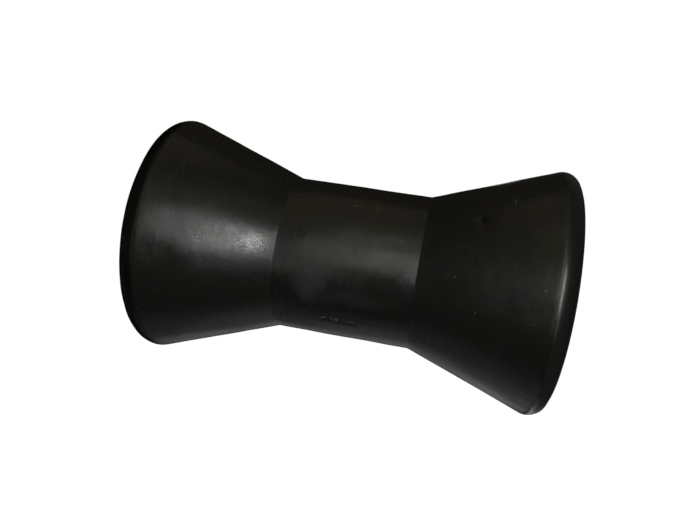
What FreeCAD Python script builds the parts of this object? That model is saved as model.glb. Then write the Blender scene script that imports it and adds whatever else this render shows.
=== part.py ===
import FreeCAD, Part

import enum
import math
import os

import Sketcher

# Boat trailer keel roller: one moulding of black rubber, a spool with two conical ends and a
# straight waist that carries the keel, bored through for a plain spindle. The mould was split
# along the roller, so two parting ribs run its length, and the rubber went in at mid waist.
#
# The body is drawn symmetric about its own mid plane, with its axis along Z. It is then lifted
# by half its length, so that it stands on one end face at Z = 0. The parting plane is XZ, and
# the gate is on the -X side.

DIMENSIONS = {
    "overall_length": 200.0,      # end face to end face
    "rim_diameter": 119.0,        # largest diameter, at the crown of each rim
    "rim_radius": 6.0,            # rounding from the end face into the cone
    "waist_diameter": 77.0,       # the straight middle that carries the keel
    "waist_length": 66.2,         # straight part, between the two creases
    "crease_radius": 0.6,         # inner rounding from the waist into the cone
    "bore_diameter": 21.0,        # clears a 20 mm spindle by half a millimetre all round
    "bore_mouth_chamfer": 1.0,    # bevel where the bore meets the end faces
    "flash_height": 0.2,          # parting rib above the surface
    "flash_width": 0.4,
    "flash_end_gap": 0.8,         # from the rib's trimmed end to the end face
    "gate_scar_length": 17.0,     # where the gate was trimmed off, along the roller
    "gate_scar_width": 4.4,
    "gate_scar_depth": 0.2,       # below the crown of the waist
    "nub_length": 3.0,            # stub of rubber left in the middle of the scar
    "nub_width": 3.5,
    "nub_height": 0.5,            # above the waist
}


class On(enum.IntEnum):
    """Point of a line, arc or circle that a sketch constraint holds."""

    START = 1
    END = 2
    CENTRE = 3


class Datum(enum.IntEnum):
    """Fixed geometry of every sketch. The origin is the horizontal axis's start point."""

    HORIZONTAL_AXIS = -1
    ORIGIN = -1
    VERTICAL_AXIS = -2


def make_sheet(doc):
    """Spreadsheet with one named cell for each size."""
    sheet = doc.addObject("Spreadsheet::Sheet", "sizes")
    for row, (name, value) in enumerate(DIMENSIONS.items(), start=1):
        sheet.set(f"A{row}", name)
        sheet.set(f"B{row}", str(value))
        sheet.setAlias(f"B{row}", name)
    doc.recompute()
    return sheet


def origin_feature(body, role):
    """Origin plane or axis of a body, found by its role."""
    return next(item for item in body.Origin.OriginFeatures if item.Role == role)


def add_sketch(body, name, role):
    """Empty sketch on one of the body's own origin planes."""
    sketch = body.newObject("Sketcher::SketchObject", name)
    sketch.AttachmentSupport = [(origin_feature(body, role), "")]
    sketch.MapMode = "FlatFace"
    return sketch


def bind(sketch, name, constraint, expression):
    """Add a named dimension and tie it to the sheet."""
    sketch.renameConstraint(sketch.addConstraint(constraint), name)
    sketch.setExpression(f"Constraints.{name}", expression)


def point(x, y):
    return FreeCAD.Vector(x, y, 0)


def below(place):
    """The same place mirrored to the lower half."""
    return point(place.x, -place.y)


def arc(centre, radius, start, end):
    """Arc of a circle, anticlockwise between two angles."""
    circle = Part.Circle(centre, FreeCAD.Vector(0, 0, 1), radius)
    return Part.ArcOfCircle(circle, start, end)


def cone_angle(rim_centre, rim_radius, crease_centre, crease_radius):
    """Tilt of the line that rolls over the rim circle and under the crease circle."""
    across = crease_centre.x - rim_centre.x
    along = rim_centre.y - crease_centre.y
    span = math.hypot(across, along)
    return math.atan2(along, across) - math.acos((rim_radius + crease_radius) / span)


def draw_outline(sketch, size, lift, lift_term, opening):
    """Side of the spool from one rim to the other.

    The line runs up: rim arc, cone, crease arc, waist, and the same again mirrored. Each rim arc
    stops at the angle opening above the crown of its rim. Every radius from the axis is larger
    by lift, and lift_term is that rise as an expression. Returns the two rim arcs.
    """
    half_waist = size["waist_length"] / 2
    waist_x = size["waist_diameter"] / 2 + lift
    rim_x = size["rim_diameter"] / 2 - size["rim_radius"] + lift
    rim_y = size["overall_length"] / 2 - size["rim_radius"]
    rim_centre = point(rim_x, rim_y)
    crease_centre = point(waist_x + size["crease_radius"], half_waist)
    tilt = cone_angle(rim_centre, size["rim_radius"], crease_centre, size["crease_radius"])
    outward = point(math.cos(tilt), -math.sin(tilt))
    rim_touch = rim_centre + outward * size["rim_radius"]
    crease_touch = crease_centre - outward * size["crease_radius"]
    pi = math.pi
    low_rim, low_cone, low_crease, waist, high_crease, high_cone, high_rim = sketch.addGeometry(
        [
            arc(below(rim_centre), size["rim_radius"], -opening, tilt),
            Part.LineSegment(below(rim_touch), below(crease_touch)),
            arc(below(crease_centre), size["crease_radius"], pi, pi + tilt),
            Part.LineSegment(point(waist_x, -half_waist), point(waist_x, half_waist)),
            arc(crease_centre, size["crease_radius"], pi - tilt, pi),
            Part.LineSegment(crease_touch, rim_touch),
            arc(rim_centre, size["rim_radius"], -tilt, opening),
        ],
        False,
    )
    sketch.addConstraint(
        [
            Sketcher.Constraint("Tangent", low_rim, On.END, low_cone, On.START),
            Sketcher.Constraint("Tangent", low_cone, On.END, low_crease, On.END),
            Sketcher.Constraint("Tangent", low_crease, On.START, waist, On.START),
            Sketcher.Constraint("Tangent", waist, On.END, high_crease, On.END),
            Sketcher.Constraint("Tangent", high_crease, On.START, high_cone, On.START),
            Sketcher.Constraint("Tangent", high_cone, On.END, high_rim, On.START),
            Sketcher.Constraint("Equal", low_rim, high_rim),
            Sketcher.Constraint("Equal", low_crease, high_crease),
            Sketcher.Constraint("Symmetric", waist, On.START, waist, On.END, Datum.HORIZONTAL_AXIS),
            Sketcher.Constraint(
                "Symmetric", low_rim, On.CENTRE, high_rim, On.CENTRE, Datum.HORIZONTAL_AXIS
            ),
        ]
    )
    bind(
        sketch,
        "rim_centre_spacing",
        Sketcher.Constraint("DistanceY", low_rim, On.CENTRE, high_rim, On.CENTRE, 2 * rim_y),
        "sizes.overall_length - 2 * sizes.rim_radius",
    )
    bind(
        sketch,
        "rim_centre_from_axis",
        Sketcher.Constraint("DistanceX", Datum.ORIGIN, On.START, high_rim, On.CENTRE, rim_x),
        f"sizes.rim_diameter / 2 - sizes.rim_radius{lift_term}",
    )
    bind(
        sketch,
        "waist_from_axis",
        Sketcher.Constraint("DistanceX", Datum.ORIGIN, On.START, waist, On.END, waist_x),
        f"sizes.waist_diameter / 2{lift_term}",
    )
    bind(
        sketch,
        "waist_length",
        Sketcher.Constraint("DistanceY", waist, On.START, waist, On.END, 2 * half_waist),
        "sizes.waist_length",
    )
    bind(
        sketch,
        "rim_radius",
        Sketcher.Constraint("Radius", high_rim, size["rim_radius"]),
        "sizes.rim_radius",
    )
    bind(
        sketch,
        "crease_radius",
        Sketcher.Constraint("Radius", high_crease, size["crease_radius"]),
        "sizes.crease_radius",
    )
    return low_rim, high_rim


def close_to_axis(sketch, low_rim, high_rim):
    """Join the free ends of the two rim arcs by level lines and a line along the axis."""
    low_place = sketch.getPoint(low_rim, On.START)
    high_place = sketch.getPoint(high_rim, On.END)
    axis, low_end, high_end = sketch.addGeometry(
        [
            Part.LineSegment(point(0, high_place.y), point(0, low_place.y)),
            Part.LineSegment(point(0, low_place.y), low_place),
            Part.LineSegment(high_place, point(0, high_place.y)),
        ],
        False,
    )
    sketch.addConstraint(
        [
            Sketcher.Constraint("Coincident", axis, On.END, low_end, On.START),
            Sketcher.Constraint("Coincident", low_end, On.END, low_rim, On.START),
            Sketcher.Constraint("Coincident", high_rim, On.END, high_end, On.START),
            Sketcher.Constraint("Coincident", high_end, On.END, axis, On.START),
            Sketcher.Constraint("PointOnObject", axis, On.START, Datum.VERTICAL_AXIS),
            Sketcher.Constraint("PointOnObject", axis, On.END, Datum.VERTICAL_AXIS),
            Sketcher.Constraint("Horizontal", low_end),
            Sketcher.Constraint("Horizontal", high_end),
        ]
    )


def add_spool(body, size):
    """The turned form: end faces, rims, cones and waist, solid to the axis.

    Each rim arc ends straight above or below its own centre, where it runs into the end face.
    """
    sketch = add_sketch(body, "spool_section", "XZ_Plane")
    low_rim, high_rim = draw_outline(sketch, size, 0.0, "", math.pi / 2)
    close_to_axis(sketch, low_rim, high_rim)
    sketch.addConstraint(
        [
            Sketcher.Constraint("Vertical", low_rim, On.CENTRE, low_rim, On.START),
            Sketcher.Constraint("Vertical", high_rim, On.CENTRE, high_rim, On.END),
        ]
    )
    spool = body.newObject("PartDesign::Revolution", "spool")
    spool.Profile = sketch
    spool.ReferenceAxis = (sketch, ["V_Axis"])
    spool.Angle = 360
    return spool


def add_parting_ribs(body, size):
    """Thin rib along the parting plane on both sides, trimmed short of the end faces."""
    above_crown = size["rim_radius"] - size["flash_end_gap"]
    opening = math.asin(above_crown / size["rim_radius"])
    sketch = add_sketch(body, "parting_rib_section", "XZ_Plane")
    low_rim, high_rim = draw_outline(
        sketch, size, size["flash_height"], " + sizes.flash_height", opening
    )
    close_to_axis(sketch, low_rim, high_rim)
    for name, rim, lower, upper in (
        ("low_end_from_rim_centre", low_rim, On.START, On.CENTRE),
        ("high_end_from_rim_centre", high_rim, On.CENTRE, On.END),
    ):
        bind(
            sketch,
            name,
            Sketcher.Constraint("DistanceY", rim, lower, rim, upper, above_crown),
            "sizes.rim_radius - sizes.flash_end_gap",
        )
    rib = body.newObject("PartDesign::Pad", "parting_rib")
    rib.Profile = sketch
    rib.SideType = "Symmetric"
    rib.setExpression("Length", "sizes.flash_width")
    opposite = body.newObject("PartDesign::Mirrored", "opposite_parting_rib")
    opposite.Originals = [rib]
    opposite.MirrorPlane = (origin_feature(body, "YZ_Plane"), [""])
    body.Tip = opposite
    return opposite


def add_gate_scar(body, size):
    """Shallow lens-shaped scar where the gate was trimmed off the waist, on the -X side.

    Two equal arcs meet at tips gate_scar_length apart and bulge to gate_scar_width. Its floor is
    a flat gate_scar_depth below the crown of the waist.
    """
    length = size["gate_scar_length"]
    width = size["gate_scar_width"]
    radius = (length**2 + width**2) / (4 * width)
    centre_x = radius - width / 2
    reach = math.asin(length / 2 / radius)
    sketch = add_sketch(body, "gate_scar_section", "YZ_Plane")
    sketch.setExpression(
        "AttachmentOffset.Base.z", "sizes.gate_scar_depth - sizes.waist_diameter / 2"
    )
    left, right = sketch.addGeometry(
        [
            arc(point(centre_x, 0), radius, math.pi - reach, math.pi + reach),
            arc(point(-centre_x, 0), radius, -reach, reach),
        ],
        False,
    )
    sketch.addConstraint(
        [
            Sketcher.Constraint("Coincident", left, On.END, right, On.START),
            Sketcher.Constraint("Coincident", right, On.END, left, On.START),
            Sketcher.Constraint("PointOnObject", left, On.CENTRE, Datum.HORIZONTAL_AXIS),
            Sketcher.Constraint("PointOnObject", left, On.START, Datum.VERTICAL_AXIS),
            Sketcher.Constraint("PointOnObject", left, On.END, Datum.VERTICAL_AXIS),
            Sketcher.Constraint("Equal", left, right),
        ]
    )
    bind(
        sketch,
        "scar_length",
        Sketcher.Constraint("DistanceY", left, On.END, left, On.START, length),
        "sizes.gate_scar_length",
    )
    bind(
        sketch,
        "edge_radius",
        Sketcher.Constraint("Radius", left, radius),
        "(sizes.gate_scar_length ^ 2 + sizes.gate_scar_width ^ 2) / (4 * sizes.gate_scar_width)",
    )
    scar = body.newObject("PartDesign::Pocket", "gate_scar")
    scar.Profile = sketch
    scar.Type = "ThroughAll"
    return scar


def add_gate_nub(body, size):
    """Square stub left in the middle of the scar, standing out of the waist towards -X."""
    half_width = size["nub_width"] / 2
    half_length = size["nub_length"] / 2
    corners = [
        point(-half_width, -half_length),
        point(half_width, -half_length),
        point(half_width, half_length),
        point(-half_width, half_length),
    ]
    sketch = add_sketch(body, "gate_nub_section", "YZ_Plane")
    bottom, right, top, left = sketch.addGeometry(
        [Part.LineSegment(corners[i], corners[(i + 1) % 4]) for i in range(4)],
        False,
    )
    sketch.addConstraint(
        [
            Sketcher.Constraint("Coincident", bottom, On.END, right, On.START),
            Sketcher.Constraint("Coincident", right, On.END, top, On.START),
            Sketcher.Constraint("Coincident", top, On.END, left, On.START),
            Sketcher.Constraint("Coincident", left, On.END, bottom, On.START),
            Sketcher.Constraint("Horizontal", bottom),
            Sketcher.Constraint("Horizontal", top),
            Sketcher.Constraint("Vertical", right),
            Sketcher.Constraint("Vertical", left),
            Sketcher.Constraint("Symmetric", bottom, On.START, top, On.START, Datum.ORIGIN, On.START),
        ]
    )
    bind(
        sketch,
        "nub_width",
        Sketcher.Constraint("DistanceX", bottom, On.START, bottom, On.END, size["nub_width"]),
        "sizes.nub_width",
    )
    bind(
        sketch,
        "nub_length",
        Sketcher.Constraint("DistanceY", right, On.START, right, On.END, size["nub_length"]),
        "sizes.nub_length",
    )
    nub = body.newObject("PartDesign::Pad", "gate_nub")
    nub.Profile = sketch
    nub.Reversed = True
    nub.setExpression("Length", "sizes.waist_diameter / 2 + sizes.nub_height")
    return nub


def add_bore(body, size):
    """Plain spindle bore through both ends."""
    sketch = add_sketch(body, "bore_section", "XY_Plane")
    ring = sketch.addGeometry(
        Part.Circle(point(0, 0), FreeCAD.Vector(0, 0, 1), size["bore_diameter"] / 2), False
    )
    sketch.addConstraint(Sketcher.Constraint("Coincident", ring, On.CENTRE, Datum.ORIGIN, On.START))
    bind(
        sketch,
        "bore_diameter",
        Sketcher.Constraint("Diameter", ring, size["bore_diameter"]),
        "sizes.bore_diameter",
    )
    bore = body.newObject("PartDesign::Pocket", "bore")
    bore.Profile = sketch
    bore.SideType = "Symmetric"
    bore.setExpression("Length", "sizes.overall_length")
    return bore


def bevel_bore_mouths(body, bore, size):
    """Bevel on the two circular edges where the bore meets the end faces."""
    mouths = []
    for index, edge in enumerate(bore.Shape.Edges, start=1):
        is_circle = isinstance(edge.Curve, Part.Circle)
        if is_circle and math.isclose(edge.Curve.Radius, size["bore_diameter"] / 2):
            mouths.append(f"Edge{index}")
    bevel = body.newObject("PartDesign::Chamfer", "bore_mouth_bevel")
    bevel.Base = (bore, mouths)
    bevel.setExpression("Size", "sizes.bore_mouth_chamfer")
    return bevel


def make_roller(doc, size):
    """The whole roller as one body, standing on its lower end face."""
    body = doc.addObject("PartDesign::Body", "roller")
    body.Label = "roller"
    body.setExpression("Placement.Base.z", "sizes.overall_length / 2")
    spool = add_spool(body, size)
    doc.recompute()
    ribs = add_parting_ribs(body, size)
    scar = add_gate_scar(body, size)
    nub = add_gate_nub(body, size)
    doc.recompute()
    require(ribs.Shape.Volume > spool.Shape.Volume, "the parting ribs add no material")
    require(scar.Shape.Volume < ribs.Shape.Volume, "the gate scar removes no material")
    require(nub.Shape.Volume > scar.Shape.Volume, "the gate nub adds no material")
    bore = add_bore(body, size)
    doc.recompute()
    bored = math.pi / 4 * size["bore_diameter"] ** 2 * size["overall_length"]
    removed = nub.Shape.Volume - bore.Shape.Volume
    require(math.isclose(removed, bored, rel_tol=1e-6), "the bore isn't open from end to end")
    bevel = bevel_bore_mouths(body, bore, size)
    doc.recompute()
    require(bevel.Shape.Volume < bore.Shape.Volume, "the bore mouths aren't bevelled")
    return body


def require(condition, message):
    """Stop with a plain message when something isn't as designed."""
    if not condition:
        raise RuntimeError(message)


def check_document(doc, bodies):
    """Every object recomputed, and each body one valid closed solid."""
    for item in doc.Objects:
        bad = {"Invalid", "Error"} & set(item.State)
        require(not bad, f"{item.Label} is {bad}")
    for body in bodies:
        require(not body.Shape.isNull(), f"{body.Label} is empty")
        require(body.Shape.isValid(), f"{body.Label} is not valid")
        require(len(body.Shape.Solids) == 1, f"{body.Label} isn't one solid")


def main():
    doc = FreeCAD.newDocument("keel_roller")
    sheet = make_sheet(doc)
    size = {name: float(sheet.get(name)) for name in DIMENSIONS}
    bodies = [make_roller(doc, size)]
    doc.recompute()
    check_document(doc, bodies)
    os.makedirs("parts", exist_ok=True)
    for body in bodies:
        body.Shape.exportStep(f"parts/{body.Label}.step")
        box = body.Shape.optimalBoundingBox(False)
        print(
            f"{body.Label}: {body.Shape.Volume:.0f} mm3, "
            f"X {box.XMin:.2f} to {box.XMax:.2f}, "
            f"Y {box.YMin:.2f} to {box.YMax:.2f}, "
            f"Z {box.ZMin:.2f} to {box.ZMax:.2f}"
        )


main()
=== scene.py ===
import math

import bpy
import numpy as np
from mathutils import Matrix, Vector


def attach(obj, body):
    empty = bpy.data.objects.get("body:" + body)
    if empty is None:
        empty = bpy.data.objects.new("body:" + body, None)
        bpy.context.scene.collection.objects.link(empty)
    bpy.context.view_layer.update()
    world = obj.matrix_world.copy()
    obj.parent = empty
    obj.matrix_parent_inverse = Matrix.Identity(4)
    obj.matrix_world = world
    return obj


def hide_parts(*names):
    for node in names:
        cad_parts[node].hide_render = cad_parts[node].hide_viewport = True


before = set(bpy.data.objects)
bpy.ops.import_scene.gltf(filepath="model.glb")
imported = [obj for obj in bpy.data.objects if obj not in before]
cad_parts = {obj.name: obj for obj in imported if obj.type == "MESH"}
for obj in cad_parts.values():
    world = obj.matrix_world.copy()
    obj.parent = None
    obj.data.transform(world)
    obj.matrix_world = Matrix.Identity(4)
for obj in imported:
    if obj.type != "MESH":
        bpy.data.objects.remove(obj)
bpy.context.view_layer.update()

MM = 0.001
MICRON = 1e-6

# The roller's own sizes, in metres. Its axis is Z, and it stands on its lower end face at Z = 0.
# RIM_CROWN, WAIST and BORE are radii. The round of a rim is part of an oval that reaches RIM_OUT
# from its middle across the axis, and RIM_ALONG along it.
LENGTH = 200 * MM
RIM_CROWN = 59.5 * MM
RIM_OUT = 6 * MM
RIM_ALONG = 6.7 * MM
WAIST = 38.5 * MM
WAIST_LENGTH = 66.2 * MM
CREASE_RADIUS = 0.6 * MM
BORE = 10.5 * MM
BEVEL = 1 * MM
MID = LENGTH / 2
GATE_AZIMUTH = math.pi

# Material slots of the roller's skin, and the height from which the upper rim has its own.
OUTSIDE, FACES_AND_BORE, UPPER_RIM = 0, 1, 2
UPPER_RIM_START = 190.2 * MM

# The camera stands off the roller's side, at CAMERA_AZIMUTH round the axis. "Across" runs down
# the axis to the picture's right, "up" is the picture's up before the camera is rolled, and
# "toward" points from the roller to the camera. CAMERA_STAND is in millimetres from the roller's
# middle along those three, and the camera's turns are in radians.
CAMERA_AZIMUTH = math.radians(227.5)
ACROSS = Vector((0, 0, -1))
TOWARD = Vector((math.cos(CAMERA_AZIMUTH), math.sin(CAMERA_AZIMUTH), 0))
UP = Vector((-math.sin(CAMERA_AZIMUTH), math.cos(CAMERA_AZIMUTH), 0))
CAMERA_STAND = (44.01, 0, 326.8)
CAMERA_YAW = 0.143
CAMERA_PITCH = 0.002
CAMERA_ROLL = 0.1637
PICTURE_WIDTH = 700
FOCAL_PIXELS = 644.11
SENSOR_WIDTH = 36


def place(across, up, toward):
    """Point given in millimetres from the roller's middle, along the picture's directions."""
    offset = ACROSS * across + UP * up + TOWARD * toward
    return Vector((0, 0, MID)) + offset * MM


def add_camera():
    """Camera at the picture's viewing angle: straight on to the roller's side, then turned."""
    data = bpy.data.cameras.new("camera")
    data.sensor_width = SENSOR_WIDTH
    data.lens = FOCAL_PIXELS * SENSOR_WIDTH / PICTURE_WIDTH
    data.clip_start = 0.01
    camera = bpy.data.objects.new("camera", data)
    straight_on = Matrix((ACROSS, UP, TOWARD)).transposed()
    turn = (
        Matrix.Rotation(CAMERA_YAW, 3, "Y")
        @ Matrix.Rotation(CAMERA_PITCH, 3, "X")
        @ Matrix.Rotation(CAMERA_ROLL, 3, "Z")
    )
    facing = (straight_on @ turn).to_4x4()
    camera.matrix_world = Matrix.Translation(place(*CAMERA_STAND)) @ facing
    bpy.context.scene.collection.objects.link(camera)
    bpy.context.scene.camera = camera


# Section of the roller


def even(start, end, count):
    """Stations from start towards end in equal steps, without the end itself."""
    return start + (end - start) * np.arange(count) / count


def graded(share, outer, inner):
    """Stations from 0 towards 1: outer of them in each end share, and inner of them between."""
    first = even(0, share, outer)
    last = even(1 - share, 1, outer)
    return np.concatenate([first, even(share, 1 - share, inner), last])


def run(start, end, stations):
    """Straight stretch of the section: start + (end - start) * station, and its normal.

    The section is followed with the rubber on its left, so the normal is the direction of travel
    turned a quarter clockwise.
    """
    start, end = np.array(start), np.array(end)
    along = (end - start) / np.linalg.norm(end - start)
    points = start + (end - start) * stations[:, None]
    normals = np.broadcast_to([along[1], -along[0]], points.shape)
    return points, normals


def crease_bend(centre, angles):
    """Hollow round of a crease: centre + CREASE_RADIUS * (cos, sin), with normals to its centre."""
    ray = np.column_stack([np.cos(angles), np.sin(angles)])
    return np.array(centre) + CREASE_RADIUS * ray, -ray


def rim_bend(centre, angles):
    """Oval round of a rim: the point of the oval whose normal has each angle, and that normal."""
    normal = np.column_stack([np.cos(angles), np.sin(angles)])
    squared = normal * [RIM_OUT**2, RIM_ALONG**2]
    reach = np.sqrt((normal * squared).sum(-1, keepdims=True))
    return np.array(centre) + squared / reach, normal


def cone_tilt():
    """Angle between the cone's normal and the level: the line over the rim and under the crease.

    The oval's reach along the normal depends on the angle, which a few rounds settle.
    """
    across = WAIST + CREASE_RADIUS - (RIM_CROWN - RIM_OUT)
    along = MID - RIM_ALONG - WAIST_LENGTH / 2
    span, tilt = math.hypot(across, along), 0.0
    for _ in range(12):
        reach = math.hypot(RIM_OUT * math.cos(tilt), RIM_ALONG * math.sin(tilt))
        tilt = math.atan2(along, across) - math.acos((reach + CREASE_RADIUS) / span)
    return tilt


def section():
    """Closed section of the roller in (radius, height), with its normals, once round.

    It goes from the lower end face over the lower rim, up the cone, the waist and the other
    cone, over the upper rim, in along the upper end face, down the bore and out again. Its
    points are closest together at mid waist, for the gate, and beside the edges.
    """
    tilt = cone_tilt()
    quarter = math.pi / 2
    rim_r = RIM_CROWN - RIM_OUT
    crease_r = WAIST + CREASE_RADIUS
    mouth = BORE + BEVEL
    low_rim, high_rim = np.array([rim_r, RIM_ALONG]), np.array([rim_r, LENGTH - RIM_ALONG])
    low_crease = np.array([crease_r, MID - WAIST_LENGTH / 2])
    high_crease = np.array([crease_r, MID + WAIST_LENGTH / 2])
    up_out = np.array([math.cos(tilt), math.sin(tilt)])
    down_out = up_out * [1, -1]
    rim_rows, crease_rows = 16, 5
    cone = even(0, 1, 38)
    waist, face, bore = graded(0.37, 26, 62), graded(0.012, 2, 15), graded(0.004, 2, 14)
    bevel = np.array([0, 0.12, 0.5, 0.88])
    low_end, _ = rim_bend(low_rim, np.array([tilt]))
    high_end, _ = rim_bend(high_rim, np.array([-tilt]))
    parts = [
        rim_bend(low_rim, even(-quarter, tilt, rim_rows)),
        run(low_end[0], low_crease - CREASE_RADIUS * up_out, cone),
        crease_bend(low_crease, even(math.pi + tilt, math.pi, crease_rows)),
        run([WAIST, low_crease[1]], [WAIST, high_crease[1]], waist),
        crease_bend(high_crease, even(math.pi, math.pi - tilt, crease_rows)),
        run(high_crease - CREASE_RADIUS * down_out, high_end[0], cone),
        rim_bend(high_rim, even(-tilt, quarter, rim_rows)),
        run([rim_r, LENGTH], [mouth, LENGTH], face),
        run([mouth, LENGTH], [BORE, LENGTH - BEVEL], bevel),
        run([BORE, LENGTH - BEVEL], [BORE, BEVEL], bore),
        run([BORE, BEVEL], [mouth, 0], bevel),
        run([mouth, 0], [rim_r, 0], face),
    ]
    return np.concatenate([p for p, _ in parts]), np.concatenate([n for _, n in parts])


# Columns of the grid in half a turn, and how far the close ones reach from a parting plane and
# from the gate, in degrees.
HALF_COLUMNS = 168
PARTING_REACH = 1.1
GATE_REACH = 5.2


def azimuths():
    """Azimuths of the grid's columns: close together at the parting planes and at the gate.

    The wanted density of columns is summed round half the roller, and its inverse is read at
    even steps. The other half is the mirror of the first.
    """
    angle = np.linspace(0, 180, 3601)
    near_parting = np.exp(-((np.minimum(angle, 180 - angle) / PARTING_REACH) ** 4))
    near_gate = np.exp(-(((180 - angle) / GATE_REACH) ** 6))
    density = 0.62 + 6.0 * near_parting + 3.2 * near_gate
    total = np.concatenate([[0], np.cumsum((density[1:] + density[:-1]) / 2)])
    half = np.interp(np.linspace(0, total[-1], HALF_COLUMNS), total, angle)
    return np.radians(np.concatenate([half, 360 - half[-2:0:-1]]))


# Relief of the surface


def waves(seed, points, size, count=28):
    """Smooth uneven field from about -1 to 1: a sum of sine waves in random directions.

    size is the shortest wavelength, and the others are up to three times as long.
    """
    random = np.random.default_rng(seed)
    heading = random.normal(size=(count, 3))
    heading /= np.linalg.norm(heading, axis=1, keepdims=True)
    length = size * 3 ** random.random(count)
    phase = random.uniform(0, 2 * math.pi, count)
    turns = points @ (heading * (2 * math.pi / length)[:, None]).T + phase
    return np.sin(turns).sum(-1) / math.sqrt(count)


def fade(value, start, end):
    """Smooth step from 0 at start to 1 at end."""
    t = np.clip((value - start) / (end - start), 0, 1)
    return t * t * (3 - 2 * t)


def hump(offset, width):
    """Bell of height 1 and the given half width: exp(-(offset / width) squared)."""
    return np.exp(-((offset / width) ** 2))


RIB_HEIGHT = 0.1 * MM
RIB_HALF_WIDTH = 0.16 * MM


def parting_line(spread, height, points):
    """Rib where the mould halves met: a bell across, uneven along, and trimmed off at the rims.

    It wanders a little, and is half as high on the waist as on the cones. spread is the distance
    round from the parting plane.
    """
    on_axis = points * [0, 0, 1]
    wander = 0.05 * MM * waves(11, on_axis, 9 * MM)
    uneven = 0.8 + 0.2 * waves(12, on_axis, 5 * MM)
    trimmed = fade(height, 1 * MM, 3 * MM) * fade(LENGTH - height, 1 * MM, 3 * MM)
    waist_end = WAIST_LENGTH / 2
    flush = 1 - 0.5 * fade(-np.abs(height - MID), -waist_end - 3 * MM, -waist_end)
    return RIB_HEIGHT * hump(spread - wander, RIB_HALF_WIDTH) * uneven * trimmed * flush


# Path of the trimmed lip: height above mid waist, and distance round the waist from the gate.
LIP_HEIGHT = np.array([-8.6, -7.6, -6.8, -4.7, -2.7, -1.2, 0.9, 2.3, 4.2, 5.4, 7.3, 8.7, 9.6]) * MM
LIP_ROUND = (
    np.array([-0.7, -0.3, 0.1, 0.35, -0.5, -0.8, -0.6, -0.1, 0.25, 0.65, 0.25, -0.4, -0.8]) * MM
)
LIP_RISE = 0.26 * MM
LIP_HALF_WIDTH = 0.24 * MM
SCOOP_DEPTH = 0.24 * MM

# The torn stub: its middle above mid waist and round from the gate, its half sizes, its rise.
STUB_LEVEL, STUB_ROUND = 0.9 * MM, 0.2 * MM
STUB_HALF_ALONG, STUB_HALF_ACROSS = 1.4 * MM, 1.7 * MM
STUB_RISE = 0.34 * MM


def gate_scar(spread, height, points):
    """Lip of the cut, hollow beside it, and the torn stub in the middle.

    The lip is a thin bell along a wavy path. On the side of the lower azimuths the rubber is
    scooped out and runs back into the waist within a few millimetres. The stub is a ragged
    plateau whose outline is a rounded square: the fourth powers of its two offsets add up to 1.
    """
    level = height - MID
    across = spread - np.interp(level, LIP_HEIGHT, LIP_ROUND)
    wings = fade(level, -9.2 * MM, -6.5 * MM) * fade(-level, -9.8 * MM, -7 * MM)
    lip = LIP_RISE * hump(across, LIP_HALF_WIDTH)
    scoop = -SCOOP_DEPTH * fade(-across, 0, 0.35 * MM) * fade(across, -3.6 * MM, -0.4 * MM)
    ragged = waves(21, points, 1.1 * MM)
    off_along = np.abs(level - STUB_LEVEL) / STUB_HALF_ALONG
    off_across = np.abs(spread - STUB_ROUND) / STUB_HALF_ACROSS
    reach = (off_along**4 + off_across**4) ** 0.25
    stub = (STUB_RISE + 0.09 * MM * ragged) * fade(-reach, -1.12, -0.82)
    return wings * (lip + scoop) * (1 + 0.25 * ragged) * fade(reach, 0.6, 1.0) + stub


# Azimuth and height, half sizes across and along in millimetres, lean in degrees, and depth.
DENTS = [
    (263.4, 42.1, 2.9, 1.9, 0, 0.28),
    (268.0, 152.0, 9.0, 6.0, 0, 0.05),
    (205.0, 128.0, 12.0, 8.0, 0, 0.05),
    (218.4, 184.4, 4.5, 13.0, -36.5, 0.07),
    (213.0, 94.0, 5.0, 7.0, 0, 0.14),
    (207.0, 75.0, 6.0, 6.0, 0, 0.14),
]


def dents(points):
    """Small smooth hollows: depth times a bell in each, placed by azimuth and height.

    The bell is exp(-reach cubed), where reach is the distance from its middle in its own half
    sizes, measured along axes that lean from the level.
    """
    total = np.zeros(points.shape[:-1])
    for azimuth, height, across, along, lean, depth in DENTS:
        angle, tilt = math.radians(azimuth), math.radians(lean)
        tangent = np.array([-math.sin(angle), math.cos(angle), 0])
        outward = np.array([math.cos(angle), math.sin(angle), 0])
        level, rise = points @ tangent, points[..., 2] - height * MM
        first = (level * math.cos(tilt) + rise * math.sin(tilt)) / (across * MM)
        second = (rise * math.cos(tilt) - level * math.sin(tilt)) / (along * MM)
        reach = np.hypot(first, second)
        total -= depth * MM * np.exp(-(reach**3)) * (points @ outward > 0)
    return total


def nearness(points, azimuth, height, reach):
    """Bell of height 1 about one place on the surface, with the given half width."""
    angle = math.radians(azimuth)
    radius = np.hypot(points[..., 0], points[..., 1])
    middle = np.array([math.cos(angle), math.sin(angle), 0]) * radius[..., None]
    middle[..., 2] = height * MM
    return hump(np.linalg.norm(points - middle, axis=-1), reach * MM)


# The place on the cone that was rubbed smooth: azimuth, and height and half width in millimetres.
RUBBED = (230.4, 148.0, 19.0)
# Height that the waves seldom reach. It is taken off, so that they lie below the true surface.
WAVE_TOP = 1.6


def unevenness(points):
    """Slight waviness of the moulding: broad and small waves, always below the true surface.

    It is calmer where the cone was rubbed smooth.
    """
    broad = 0.06 * MM * (waves(31, points, 13 * MM) - WAVE_TOP)
    small = 0.014 * MM * (waves(32, points, 4.5 * MM) - WAVE_TOP)
    calm = 1 - 0.75 * nearness(points, *RUBBED)
    return np.minimum(broad + small, 0) * calm


# The skin as one piece


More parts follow.
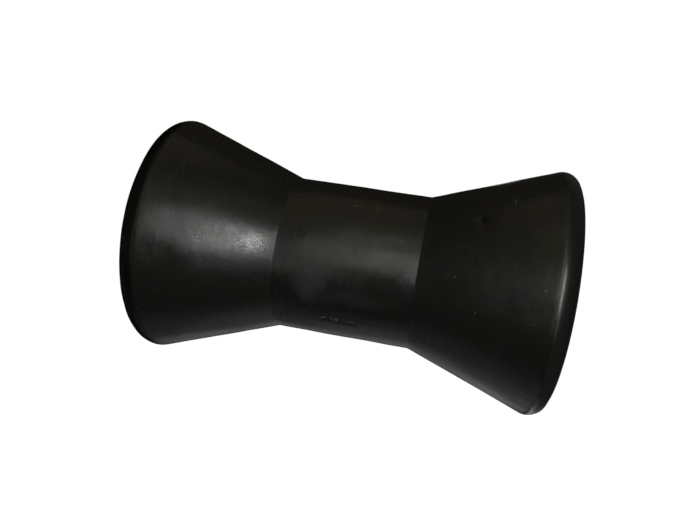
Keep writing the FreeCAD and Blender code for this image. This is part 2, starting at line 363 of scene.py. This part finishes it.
def roller_skin():
    """Surface of the whole roller: the section carried round the axis, with its relief.

    Each point is the section's point plus its normal times the relief, turned to its azimuth.
    Both directions of the grid close on themselves. The relief is left off the end faces and the
    bore, and the parting rib makes way for the gate's scar.
    """
    outline, normal = section()
    azimuth = azimuths()
    radial = np.stack([np.cos(azimuth), np.sin(azimuth), np.zeros_like(azimuth)], -1)[:, None]
    axis = np.array([0, 0, 1.0])
    base = radial * outline[None, :, :1] + axis * outline[None, :, 1:]
    outward = radial * normal[None, :, :1] + axis * normal[None, :, 1:]
    height = base[..., 2]
    on_side = fade(normal[:, 0], 0.1, 0.5)[None, :]
    wrapped = (azimuth + math.pi) % (2 * math.pi) - math.pi
    from_parting = np.where(np.abs(wrapped) < math.pi / 2, wrapped, azimuth - GATE_AZIMUTH)
    spread = from_parting[:, None] * outline[:, 0]
    at_gate = (np.abs(azimuth - GATE_AZIMUTH) < 0.5)[:, None] * (np.abs(height - MID) < 20 * MM)
    scarred = at_gate * hump(height - MID, 5 * MM)
    relief = parting_line(spread, height, base) * (1 - np.clip(2 * scarred, 0, 1))
    relief += at_gate * gate_scar(spread, height, base)
    relief += dents(base) + unevenness(base)
    skin = closed_grid("roller_skin", base + outward * (relief * on_side)[..., None])
    slots = np.tile(row_slots(outline), len(azimuth))
    skin.data.polygons.foreach_set("material_index", slots.astype(np.int32))
    return skin


def row_slots(outline):
    """Material slot of each row of faces, which lies between a point of the section and the next.

    A row belongs to the end faces and the bore where both of its points do.
    """
    radius, height = outline[:, 0], outline[:, 1]
    faced = (height <= 0) | (height >= LENGTH) | (radius <= BORE + BEVEL)
    both_faced = faced & np.roll(faced, -1)
    on_upper_rim = (height >= UPPER_RIM_START) & ~faced
    return np.select([both_faced, on_upper_rim], [FACES_AND_BORE, UPPER_RIM], OUTSIDE)


def closed_grid(name, points):
    """Mesh of a grid of points whose rows and columns both join up with their own beginnings."""
    columns, rows = points.shape[:2]
    index = np.arange(columns * rows).reshape(columns, rows)
    right = np.roll(index, -1, 0)
    quads = np.stack([index, right, np.roll(right, -1, 1), np.roll(index, -1, 1)], -1)
    mesh = bpy.data.meshes.new(name)
    mesh.from_pydata(points.reshape(-1, 3), [], quads.reshape(-1, 4))
    mesh.polygons.foreach_set("use_smooth", np.ones(len(mesh.polygons), bool))
    mesh.update()
    piece = bpy.data.objects.new(name, mesh)
    bpy.context.scene.collection.objects.link(piece)
    return piece


# Shader nodes


def node(tree, kind, inputs=(), **settings):
    """New shader node. Each input is a value, or another node's output to link from."""
    made = tree.nodes.new("ShaderNode" + kind)
    for key, value in settings.items():
        setattr(made, key, value)
    for socket, value in dict(inputs).items():
        fill(tree, made.inputs[socket], value)
    return made


def fill(tree, socket, value):
    """Links a socket to another node's output, or sets it to a value."""
    if isinstance(value, bpy.types.NodeSocket):
        tree.links.new(value, socket)
    else:
        socket.default_value = value


def calc(tree, operation, *values, clamp=False):
    """Output of a Math node on the given values."""
    made = node(tree, "Math", dict(enumerate(values)), operation=operation, use_clamp=clamp)
    return made.outputs[0]


def weighted(tree, start, *terms):
    """Starting value plus the sum of each value times its weight."""
    total = start
    for value, weight in terms:
        inputs = {0: value, 1: weight, 2: total}
        total = node(tree, "Math", inputs, operation="MULTIPLY_ADD").outputs[0]
    return total


def ramp(tree, value, start, end, low=0.0, high=1.0):
    """Smooth change from low at start to high at end."""
    inputs = {"Value": value, "From Min": start, "From Max": end, "To Min": low, "To Max": high}
    return node(tree, "MapRange", inputs, interpolation_type="SMOOTHSTEP").outputs["Result"]


def noise(tree, position, scale, detail=2.0, roughness=0.55):
    """Value of a noise field at a position."""
    inputs = {"Vector": position, "Scale": scale, "Detail": detail, "Roughness": roughness}
    return node(tree, "TexNoise", inputs).outputs["Fac"]


def blend(tree, mask, first, second):
    """Colour that goes from first to second as mask goes from 0 to 1."""
    made = node(tree, "Mix", {0: mask, 6: first, 7: second}, data_type="RGBA")
    return made.outputs[2]


def layered(tree, colour, *layers):
    """Colour with each layer laid over it in turn: a mask, the share of it to use, and a tint."""
    for mask, share, tint in layers:
        colour = blend(tree, calc(tree, "MULTIPLY", mask, share), colour, tint)
    return colour


def calmed(tree, value, mask, amount):
    """Value drawn towards its middle, 0.5, by the given amount where mask is 1."""
    kept = calc(tree, "MULTIPLY", value, weighted(tree, 1.0, (mask, -amount)))
    return weighted(tree, kept, (mask, amount / 2))


def new_group(name, inputs, outputs):
    """Empty node group with named sockets, and its input and output ends.

    Each input is a label, a kind and a starting value, and each output is a label. All outputs
    are numbers.
    """
    tree = bpy.data.node_groups.new(name, "ShaderNodeTree")
    for label, kind, value in inputs:
        socket = tree.interface.new_socket(label, in_out="INPUT", socket_type="NodeSocket" + kind)
        if value is not None:
            socket.default_value = value
    for label in outputs:
        tree.interface.new_socket(label, in_out="OUTPUT", socket_type="NodeSocketFloat")
    return tree, tree.nodes.new("NodeGroupInput").outputs, tree.nodes.new("NodeGroupOutput").inputs


def place_group(tree, group, **inputs):
    """One use of a group. An input's name has underscores for its spaces."""
    made = tree.nodes.new("ShaderNodeGroup")
    made.node_tree = group
    for label, value in inputs.items():
        fill(tree, made.inputs[label.replace("_", " ")], value)
    return made.outputs


# Effects that the materials share


def make_grain():
    """Skin of moulded rubber: fine pebbling and its bright tips, soft mottling, broad clouds."""
    tree, given, out = new_group(
        "moulded_grain",
        [
            ("Position", "Vector", None),
            ("Pebble Scale", "Float", 2100.0),
            ("Mottle Scale", "Float", 420.0),
            ("Cloud Scale", "Float", 55.0),
        ],
        ["Pebble", "Fleck", "Mottle", "Cloud"],
    )
    pebble = noise(tree, given["Position"], given["Pebble Scale"], 3.0, 0.6)
    mottle = noise(tree, given["Position"], given["Mottle Scale"], 3.0, 0.6)
    cloud = noise(tree, given["Position"], given["Cloud Scale"], 3.0, 0.5)
    tree.links.new(pebble, out["Pebble"])
    tree.links.new(ramp(tree, pebble, 0.5, 0.6), out["Fleck"])
    tree.links.new(ramp(tree, mottle, 0.3, 0.7), out["Mottle"])
    tree.links.new(ramp(tree, cloud, 0.35, 0.65), out["Cloud"])
    return tree


def make_rolled_streaks():
    """Faint bands round the roller, as left by turning in use: a noise squeezed along the axis."""
    tree, given, out = new_group(
        "rolled_streaks", [("Position", "Vector", None), ("Fineness", "Float", 1.0)], ["Streak"]
    )
    squeezed = node(
        tree, "VectorMath", {0: given["Position"], 1: (60, 60, 420)}, operation="MULTIPLY"
    )
    streak = noise(tree, squeezed.outputs[0], given["Fineness"], 3.0, 0.6)
    tree.links.new(ramp(tree, streak, 0.3, 0.7), out["Streak"])
    return tree


def make_hairlines():
    """Fine handling scratches: contour lines of a stretched noise, kept only in patches."""
    tree, given, out = new_group(
        "hairline_scratches",
        [("Position", "Vector", None), ("Width", "Float", 0.012), ("Cover", "Float", 0.5)],
        ["Scratch"],
    )
    lines = []
    for turn, stretch in (((0.3, 0.2, 0.5), (30, 90, 200)), ((1.1, 0.7, 2.0), (160, 30, 80))):
        inputs = {"Vector": given["Position"], "Rotation": turn, "Scale": stretch}
        value = noise(tree, node(tree, "Mapping", inputs).outputs[0], 1.0, 1.0, 0.4)
        away = calc(tree, "ABSOLUTE", calc(tree, "SUBTRACT", value, 0.5))
        near = calc(tree, "SUBTRACT", 1.0, calc(tree, "DIVIDE", away, given["Width"]), clamp=True)
        lines.append(near)
    patch = ramp(tree, noise(tree, given["Position"], 90.0), 0.5, 0.68)
    both = calc(tree, "MAXIMUM", *lines)
    kept = calc(tree, "MULTIPLY", calc(tree, "MULTIPLY", both, patch), given["Cover"])
    tree.links.new(kept, out["Scratch"])
    return tree


def make_dust():
    """Sparse pale specks: the middle of a few of the cells of a jittered lattice."""
    tree, given, out = new_group(
        "dust_specks",
        [("Position", "Vector", None), ("Cells", "Float", 95.0), ("Speck Size", "Float", 0.022)],
        ["Speck"],
    )
    cells = node(tree, "TexVoronoi", {"Vector": given["Position"], "Scale": given["Cells"]})
    parts = node(tree, "SeparateColor", {0: cells.outputs["Color"]})
    size = calc(tree, "MULTIPLY", given["Speck Size"], calc(tree, "ADD", 0.5, parts.outputs[1]))
    inside = calc(tree, "LESS_THAN", cells.outputs["Distance"], size)
    chosen = calc(tree, "GREATER_THAN", parts.outputs[0], 0.9)
    tree.links.new(calc(tree, "MULTIPLY", inside, chosen), out["Speck"])
    return tree


def make_mark():
    """Soft oval mark about the middle of a vector that a Mapping node has centred and sized."""
    tree, given, out = new_group(
        "surface_mark",
        [
            ("Place", "Vector", None),
            ("Position", "Vector", None),
            ("Edge", "Float", 0.5),
            ("Ragged", "Float", 0.3),
            ("Ragged Scale", "Float", 900.0),
        ],
        ["Mark"],
    )
    reach = node(tree, "VectorMath", {0: given["Place"]}, operation="LENGTH").outputs["Value"]
    field = noise(tree, given["Position"], given["Ragged Scale"], 2.0, 0.5)
    rough = calc(tree, "MULTIPLY", calc(tree, "SUBTRACT", field, 0.5), given["Ragged"])
    inner = calc(tree, "SUBTRACT", 1.0, given["Edge"])
    tree.links.new(ramp(tree, calc(tree, "ADD", reach, rough), inner, 1.0, 1.0, 0.0), out["Mark"])
    return tree


def make_turned_rings():
    """Fine rings round the axis: a noise read along the radius on a face, and along the bore."""
    tree, given, out = new_group(
        "turned_rings", [("Position", "Vector", None), ("Ring Scale", "Float", 900.0)], ["Ring"]
    )
    parts = node(tree, "SeparateXYZ", {0: given["Position"]})
    flat = node(tree, "CombineXYZ", {0: parts.outputs[0], 1: parts.outputs[1]})
    radius = node(tree, "VectorMath", {0: flat.outputs[0]}, operation="LENGTH").outputs["Value"]
    along = calc(tree, "MULTIPLY", calc(tree, "ADD", radius, parts.outputs[2]), given["Ring Scale"])
    inputs = {"W": along, "Scale": 1.0, "Detail": 3.0, "Roughness": 0.6}
    ring = node(tree, "TexNoise", inputs, noise_dimensions="1D").outputs["Fac"]
    tree.links.new(ramp(tree, ring, 0.3, 0.7), out["Ring"])
    return tree


def make_groups():
    """Node groups of the shared effects, by short names."""
    return {
        "grain": make_grain(),
        "streaks": make_rolled_streaks(),
        "hairlines": make_hairlines(),
        "dust": make_dust(),
        "mark": make_mark(),
        "rings": make_turned_rings(),
    }


# Marks of handling, and a few of painted light, each in its place. A row gives azimuth and
# height, half sizes round and along the roller in millimetres, lean in degrees, softness of the
# edge, and strength.
PALE_MARKS_AND_HIGHLIGHT = [
    (275.0, 29.1, 2.6, 0.35, 4, 0.6, 0.25),
    (270.4, 100.1, 0.3, 2.0, 18, 0.7, 0.25),
    (228.5, 50.1, 0.33, 0.33, 0, 0.5, 0.7),
    (228.5, 13.7, 0.4, 0.6, 0, 0.6, 0.45),
    (211.9, 39.4, 0.3, 0.3, 0, 0.5, 0.6),
    (232.3, 102.6, 0.3, 1.8, 25, 0.8, 0.12),
    (213.8, 16.1, 0.7, 1.6, 20, 0.9, 0.06),
    (180.4, 101.0, 1.6, 1.3, 0, 0.6, 0.25),
    (180.6, 98.6, 0.3, 1.2, -30, 0.8, 0.2),
    (180.3, 107.5, 0.34, 2.2, 18, 0.8, 0.6),
    (180.5, 103.9, 0.3, 1.7, -16, 0.8, 0.35),
    (180.2, 96.3, 0.28, 1.0, 26, 0.8, 0.35),
    (180.2, 93.8, 0.36, 2.2, -12, 0.8, 0.7),
    # A painted highlight along the upper crease of the waist.
    (229.0, 133.7, 12.0, 0.35, 0, 0.6, 0.16),
]
# The first row is painted shade in the pit, and the second painted shade beside the gate's scar.
DARK_MARKS_AND_PAINTED_SHADE = [
    (263.4, 41.9, 3.0, 2.0, 8, 0.5, 0.8),
    (183.6, 98.3, 0.35, 1.3, 0, 0.6, 0.7),
    (284.9, 80.9, 1.8, 3.2, 30, 0.9, 0.5),
    (239.5, 122.1, 3.0, 2.5, 0, 0.9, 0.3),
]

# Broad patches of skin, in rows of the same kind: rubbed smooth, dulled by a grey bloom whose
# lighter colour is also a painted sheen, and pebbled so that it glints.
SMOOTH_PATCHES = [
    (229.2, 143.1, 4.9, 9.2, 8, 0.9, 3.4),
    (229.0, 143.5, 5.2, 11.0, 8, 0.9, 1.2),
    (231.0, 82.0, 6.0, 18.0, 0, 0.8, 0.6),
    (211.0, 84.0, 9.0, 18.0, 0, 0.7, 0.8),
    (216.0, 54.0, 11.0, 10.0, 0, 0.8, 0.6),
    (209.0, 180.0, 9.0, 16.0, 25, 0.6, 0.7),
]
DULL_PATCHES_AND_SHEEN = [
    (206.8, 114.5, 13.0, 12.0, 0, 0.8, 1.3),
    (201.0, 98.0, 6.0, 30.0, 0, 0.9, 0.5),
    (228.0, 120.0, 9.0, 11.0, 0, 0.9, 0.4),
    (232.0, 177.0, 10.0, 14.0, 0, 0.9, 0.25),
    (226.0, 31.0, 20.0, 18.0, 0, 1.0, 0.15),
    (229.0, 133.8, 9.0, 3.0, 0, 0.9, 0.7),
]
GLINTING_PATCHES = [
    (229.3, 143.1, 5.9, 12.0, 8, 0.9, 1.0),
    (230.5, 164.0, 11.0, 24.0, 0, 0.9, 0.2),
]

# How far a mark reaches through the surface to either side.
MARK_DEPTH = 12 * MM

# Heights from and to which the outside's finish changes: the upper rim takes painted shade, the
# lower rim takes painted shade, its shoulder begins to shine, and the lower cone grows more even.
UPPER_RIM_DARKENS = (191.0 * MM, 193.0 * MM)
LOWER_RIM_DARKENS = (9.0 * MM, 6.0 * MM)
SHOULDER_SHINES = (1.5 * MM, 4.0 * MM)
LOWER_CONE_CALMS = (66.0 * MM, 54.0 * MM)

# Colours of the outside, of what lies on the rubber, of painted shade, sheen and highlight, and of
# the end faces and the bore.
WARM_BLACK = (0.0178, 0.0166, 0.0132, 1)
GREY_BLACK = (0.0150, 0.0150, 0.0146, 1)
MOTTLED_BLACK = (0.024, 0.0235, 0.021, 1)
BLOOM_AND_PAINTED_SHEEN = (0.05, 0.05, 0.055, 1)
PAINTED_RIM_SHADE = (0.002, 0.002, 0.0015, 1)
STAIN_AND_PAINTED_SHADE = (0.006, 0.0055, 0.0045, 1)
SCUFF_AND_PAINTED_HIGHLIGHT = (0.3, 0.3, 0.28, 1)
SCRATCHED = (0.08, 0.08, 0.075, 1)
DUST = (0.45, 0.45, 0.43, 1)
FACED_WARM = (0.034, 0.0325, 0.029, 1)
FACED_GREY = (0.050, 0.0495, 0.048, 1)
FACED_MOTTLED = (0.062, 0.061, 0.058, 1)
FACED_RING = (0.018, 0.0172, 0.0158, 1)


def marks(tree, group, position, rows, ragged=0.5, ragged_scale=900.0):
    """Strongest of the placed marks at each point.

    Each mark's middle is on the surface at its azimuth and height: on the waist, or out from it
    by the cone's slope.
    """
    strongest = 0.0
    for azimuth, height, across, along, lean, edge, strength in rows:
        angle = math.radians(azimuth)
        past_waist = max(abs(height * MM - MID) - WAIST_LENGTH / 2, 0)
        surface = WAIST + past_waist * math.tan(cone_tilt())
        inputs = {
            "Vector": position,
            "Location": (surface * math.cos(angle), surface * math.sin(angle), height * MM),
            "Rotation": (math.radians(lean), 0, angle),
            "Scale": (MARK_DEPTH, across * MM, along * MM),
        }
        mark = place_group(
            tree,
            group,
            Place=node(tree, "Mapping", inputs, vector_type="TEXTURE").outputs[0],
            Position=position,
            Edge=edge,
            Ragged=ragged,
            Ragged_Scale=ragged_scale,
        )["Mark"]
        strongest = calc(tree, "MAXIMUM", strongest, calc(tree, "MULTIPLY", mark, strength))
    return strongest


def material_on(name):
    """New material with its Principled shader, and the position it is painted by."""
    material = bpy.data.materials.new(name)
    material.use_nodes = True
    tree = material.node_tree
    position = node(tree, "TexCoord").outputs["Object"]
    return material, tree, tree.nodes["Principled BSDF"], position


def paint(tree, shader, colour, roughness, relief):
    """Links a colour, a roughness and a relief, as a height in metres, to the shader."""
    bump = node(tree, "Bump", {"Height": relief, "Distance": 1.0, "Strength": 1.0})
    tree.links.new(colour, shader.inputs["Base Color"])
    tree.links.new(roughness, shader.inputs["Roughness"])
    tree.links.new(bump.outputs[0], shader.inputs["Normal"])


def add_faced_rubber(groups):
    """End faces and bore: duller rubber with faint rings, scuffs and a little grey bloom."""
    material, tree, shader, position = material_on("faced_rubber")
    grain = place_group(tree, groups["grain"], Position=position, Mottle_Scale=300.0)
    ring = place_group(tree, groups["rings"], Position=position)["Ring"]
    scratch = place_group(tree, groups["hairlines"], Position=position, Cover=0.6)["Scratch"]
    speck = place_group(tree, groups["dust"], Position=position)["Speck"]
    colour = layered(
        tree,
        blend(tree, grain["Cloud"], FACED_WARM, FACED_GREY),
        (grain["Mottle"], 0.3, FACED_MOTTLED),
        (ring, 0.3, FACED_RING),
        (scratch, 0.35, SCRATCHED),
        (speck, 1.0, DUST),
    )
    roughness = weighted(
        tree,
        0.4,
        (grain["Mottle"], 0.08),
        (ring, 0.07),
        (grain["Cloud"], 0.08),
        (scratch, -0.08),
    )
    relief = weighted(
        tree,
        0.0,
        (grain["Pebble"], 6 * MICRON),
        (ring, 22 * MICRON),
        (grain["Mottle"], 20 * MICRON),
        (scratch, -10 * MICRON),
    )
    paint(tree, shader, colour, roughness, relief)
    return material


def add_satin_rubber(name, shine, groups):
    """Outside of the roller: near-black satin rubber with a grey bloom and handling marks.

    shine is the level of its mirrored light, 0.5 for plain rubber. Both rims are darkened with
    painted shade, the shoulder of the lower one has a sheen, and the lower cone is more even than
    the rest. The grey bloom's lighter colour is also a painted sheen, and a few marks are painted
    shade and a painted highlight.
    """
    material, tree, shader, position = material_on(name)
    shader.inputs["Specular IOR Level"].default_value = shine
    shader.inputs["Coat Roughness"].default_value = 0.2
    grain = place_group(tree, groups["grain"], Position=position)
    streak = place_group(tree, groups["streaks"], Position=position)["Streak"]
    scratch = place_group(tree, groups["hairlines"], Position=position, Cover=0.45)["Scratch"]
    speck = place_group(tree, groups["dust"], Position=position)["Speck"]
    pale = marks(tree, groups["mark"], position, PALE_MARKS_AND_HIGHLIGHT)
    dark_and_shade = marks(tree, groups["mark"], position, DARK_MARKS_AND_PAINTED_SHADE)
    smooth = marks(tree, groups["mark"], position, SMOOTH_PATCHES, 0.9, 110.0)
    dull = marks(tree, groups["mark"], position, DULL_PATCHES_AND_SHEEN, 0.9, 110.0)
    glint = marks(tree, groups["mark"], position, GLINTING_PATCHES, 0.5, 300.0)
    height = node(tree, "SeparateXYZ", {0: position}).outputs["Z"]
    upper_rim = ramp(tree, height, *UPPER_RIM_DARKENS)
    lower_rim = ramp(tree, height, *LOWER_RIM_DARKENS)
    shoulder = calc(tree, "MULTIPLY", lower_rim, ramp(tree, height, *SHOULDER_SHINES))
    lower_cone = ramp(tree, height, *LOWER_CONE_CALMS)
    streak = calmed(tree, streak, lower_cone, 0.4)
    mottle = calmed(tree, grain["Mottle"], lower_cone, 0.4)
    colour = layered(
        tree,
        blend(tree, grain["Cloud"], WARM_BLACK, GREY_BLACK),
        (mottle, 0.15, MOTTLED_BLACK),
        # Grey bloom, whose lighter bluish grey is also a painted sheen.
        (dull, 0.6, BLOOM_AND_PAINTED_SHEEN),
        # Painted shade on both rims.
        (upper_rim, 0.7, PAINTED_RIM_SHADE),
        (lower_rim, 0.45, PAINTED_RIM_SHADE),
        # Stains, and painted shade in the pit and beside the gate's scar.
        (dark_and_shade, 1.0, STAIN_AND_PAINTED_SHADE),
        (scratch, 0.25, SCRATCHED),
        # Scuffs and specks, and a painted highlight along the upper crease.
        (pale, 1.0, SCUFF_AND_PAINTED_HIGHLIGHT),
        (speck, 1.0, DUST),
    )
    roughness = weighted(
        tree,
        0.2,
        (mottle, 0.05),
        (streak, 0.04),
        (grain["Cloud"], 0.04),
        (dull, 0.1),
        (smooth, -0.06),
        (pale, 0.3),
        (upper_rim, 0.06),
        (lower_rim, 0.09),
    )
    relief = weighted(
        tree,
        0.0,
        (grain["Pebble"], 2 * MICRON),
        (calc(tree, "MULTIPLY", grain["Pebble"], glint), 50 * MICRON),
        (streak, 7 * MICRON),
        (mottle, 12 * MICRON),
        (scratch, -8 * MICRON),
    )
    paint(tree, shader, colour, roughness, relief)
    coat = weighted(tree, calc(tree, "MULTIPLY", glint, grain["Fleck"]), (shoulder, 0.6))
    tree.links.new(coat, shader.inputs["Coat Weight"])
    return material


# Lamps, floor and world


# Each soft lamp: how far it stands round to the picture's right and up from the line to the
# camera, in degrees, its distance, width and height in metres, its spin in degrees, and its
# radiance per colour.
LAMPS = {
    "key_strip": (13.2, -1.9, 0.424, 0.008, 0.516, 1.0, (7.064, 7.6, 8.775)),
    "near_strip": (12.0, 3.5, 0.384, 0.025, 0.224, -5.2, (15.342, 15.073, 14.54)),
    "tall_strip": (-10.7, 7.4, 0.702, 0.025, 1.091, -7.9, (3.934, 4.054, 3.72)),
    "low_strip": (-1.5, 8.2, 0.301, 0.025, 0.147, -10.0, (2.107, 2.188, 2.161)),
    "near_top": (5.7, 28.5, 0.23, 0.12, 0.276, -12.8, (0.11, 0.111, 0.059)),
    "top_front": (-28.1, 68.1, 1.225, 0.463, 1.498, 19.9, (0.176, 0.151, 0.099)),
    "top_slope": (-10.0, 111.0, 1.2, 0.9, 0.45, 0.0, (0.024, 0.02, 0.012)),
    "back_top": (0.0, 135.0, 1.2, 1.2, 0.8, 0.0, (0.022, 0.019, 0.014)),
    "back_fill": (-172.0, 0.0, 1.5, 0.8, 1.0, 0.0, (0.08, 0.078, 0.082)),
    "back_strip": (173.0, 3.0, 0.6, 0.03, 0.5, 0.0, (1.2, 1.21, 1.2)),
    "end_dome": (-68.0, 0.0, 0.8, 0.9, 1.0, 0.0, (0.045, 0.046, 0.042)),
    "end_side": (-90.0, -48.0, 0.8, 0.5, 0.8, 0.0, (0.045, 0.045, 0.047)),
    "under_near": (-39.9, -133.0, 0.322, 0.288, 0.539, 16.7, (0.129, 0.131, 0.128)),
    "under_middle": (10.5, -108.8, 1.164, 1.108, 1.024, 6.2, (0.096, 0.096, 0.104)),
    "under_far": (-4.3, -145.6, 2.0, 1.5, 0.829, -9.2, (0.278, 0.276, 0.294)),
}

# Each lamp with a narrow beam: where it stands and where it points, in millimetres from the
# roller's middle along the picture's directions, its size in millimetres, its spread in degrees,
# and its power in watts. The first lights the floor beside the lower rim, which mirrors it. The
# second lights the upper end face inside its rim.
BEAMS = {
    "floor_pool": ((-100, -150, -20), (100, -80, -14), 30, 20, 0.006),
    "end_pool": ((-700, 0, 0), (-100, 0, 0), 14, 9.5, 0.02),
}


def hang(name, data, where, facing):
    """Puts a lamp at a point, turned as the matrix says, where the camera doesn't see it."""
    lamp = bpy.data.objects.new(name, data)
    lamp.visible_camera = False
    lamp.matrix_world = Matrix.Translation(where) @ facing.to_4x4()
    bpy.context.scene.collection.objects.link(lamp)


def add_lamp(name, round_right, round_up, distance, width, height, spin, radiance):
    """Soft rectangular lamp that faces the roller's middle.

    Its power is its radiance times its area times pi.
    """
    data = bpy.data.lights.new(name, "AREA")
    data.shape = "RECTANGLE"
    data.size, data.size_y = width, height
    strongest = max(radiance)
    data.energy = strongest * width * height * math.pi
    data.color = [part / strongest for part in radiance]
    right, up, spin = (math.radians(angle) for angle in (round_right, round_up, spin))
    away = (
        ACROSS * (math.cos(up) * math.sin(right))
        + UP * math.sin(up)
        + TOWARD * (math.cos(up) * math.cos(right))
    )
    side = UP.cross(away).normalized()
    above = away.cross(side)
    turned = side * math.cos(spin) + above * math.sin(spin)
    facing = Matrix((turned, away.cross(turned), away)).transposed()
    hang(name, data, Vector((0, 0, MID)) + away * distance, facing)


def add_beam(name, stand, aim, size, spread, power):
    """Small square lamp whose narrow beam points from its stand to its aim."""
    data = bpy.data.lights.new(name, "AREA")
    data.shape = "SQUARE"
    data.size = size * MM
    data.spread = math.radians(spread)
    data.energy = power
    start, end = place(*stand), place(*aim)
    hang(name, data, start, (end - start).to_track_quat("-Z", "Y").to_matrix())


# The floor is a square of twice FLOOR_HALF, in metres. What it gives off to the camera grows from
# NEAR_GLOW to 1 between the two distances from its middle.
FLOOR_HALF = 4.0
NEAR_GLOW = 0.975
GLOW_GROWS = (0.08, 0.4)


def add_floor():
    """Pale floor. The camera sees it as white, with a faint shadow near the roller.

    To the camera it gives off a little less than white near the roller, and the lamps' own light
    makes up the rest there except in the shadow.
    """
    mesh = bpy.data.meshes.new("floor")
    corners = [(FLOOR_HALF * x, FLOOR_HALF * y, 0) for x, y in ((-1, -1), (1, -1), (1, 1), (-1, 1))]
    mesh.from_pydata(corners, [], [(0, 1, 2, 3)])
    floor = bpy.data.objects.new("floor", mesh)
    bpy.context.scene.collection.objects.link(floor)
    material = bpy.data.materials.new("pale_floor")
    material.use_nodes = True
    tree = material.node_tree
    tree.nodes.clear()
    pale = node(tree, "BsdfDiffuse", {"Color": (0.7, 0.7, 0.7, 1)})
    position = node(tree, "TexCoord").outputs["Object"]
    distance = node(tree, "VectorMath", {0: position}, operation="LENGTH").outputs["Value"]
    white = ramp(tree, distance, *GLOW_GROWS, NEAR_GLOW, 1.0)
    seen = node(tree, "LightPath").outputs["Is Camera Ray"]
    strength = calc(tree, "MULTIPLY", white, seen)
    glow = node(tree, "Emission", {"Color": (1, 1, 1, 1), "Strength": strength})
    both = node(tree, "AddShader", {0: pale.outputs[0], 1: glow.outputs[0]})
    node(tree, "OutputMaterial", {"Surface": both.outputs[0]})
    mesh.materials.append(material)


def add_world():
    """World that the camera sees as white, and that is nearly black to everything else."""
    world = bpy.data.worlds.new("room")
    bpy.context.scene.world = world
    world.use_nodes = True
    tree = world.node_tree
    tree.nodes.clear()
    dim = node(tree, "Background", {"Color": (0.0004, 0.0005, 0.0004, 1)})
    white = node(tree, "Background", {"Color": (1, 1, 1, 1)})
    seen = node(tree, "LightPath").outputs["Is Camera Ray"]
    mix = node(tree, "MixShader", {0: seen, 1: dim.outputs[0], 2: white.outputs[0]})
    node(tree, "OutputWorld", {"Surface": mix.outputs[0]})


add_camera()
skin = roller_skin()
groups = make_groups()
finishes = {
    OUTSIDE: add_satin_rubber("satin_moulded_rubber", 0.5, groups),
    FACES_AND_BORE: add_faced_rubber(groups),
    UPPER_RIM: add_satin_rubber("dull_rim_rubber", 0.2, groups),
}
for slot in sorted(finishes):
    skin.data.materials.append(finishes[slot])
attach(skin, "root")
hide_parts("roller")
add_floor()
add_world()
for name, lamp in LAMPS.items():
    add_lamp(name, *lamp)
for name, beam in BEAMS.items():
    add_beam(name, *beam)
bpy.context.scene.view_settings.view_transform = "Standard"
